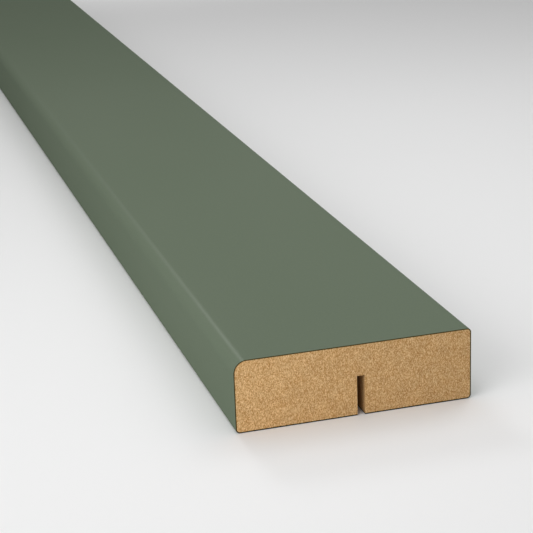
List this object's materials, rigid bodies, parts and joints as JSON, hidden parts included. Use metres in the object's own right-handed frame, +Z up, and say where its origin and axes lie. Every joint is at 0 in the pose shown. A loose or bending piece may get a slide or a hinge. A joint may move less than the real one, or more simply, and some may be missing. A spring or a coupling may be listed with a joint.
{
  "type": "kitchen decorative strip",
  "caption": "Long flat MDF strip wrapped in matt sage green foil, with a rounded upper front edge and a saw groove along its underside, for trimming kitchen cabinets.",
  "frame": {"origin": "middle of the underside, on the surface that the strip lies on", "axes": "+Y along the strip, +Z up from the grooved underside to the decorative face, -X towards the rounded front edge and +X towards the back edge"},
  "size_m": [0.0606, 2.4, 0.0186],
  "materials": {
    "mdf": "matte",
    "foil": "satin"
  },
  "bodies": {
    "root": {"mdf_core": "mdf", "decor_foil": "foil"}
  },
  "joints": []
}
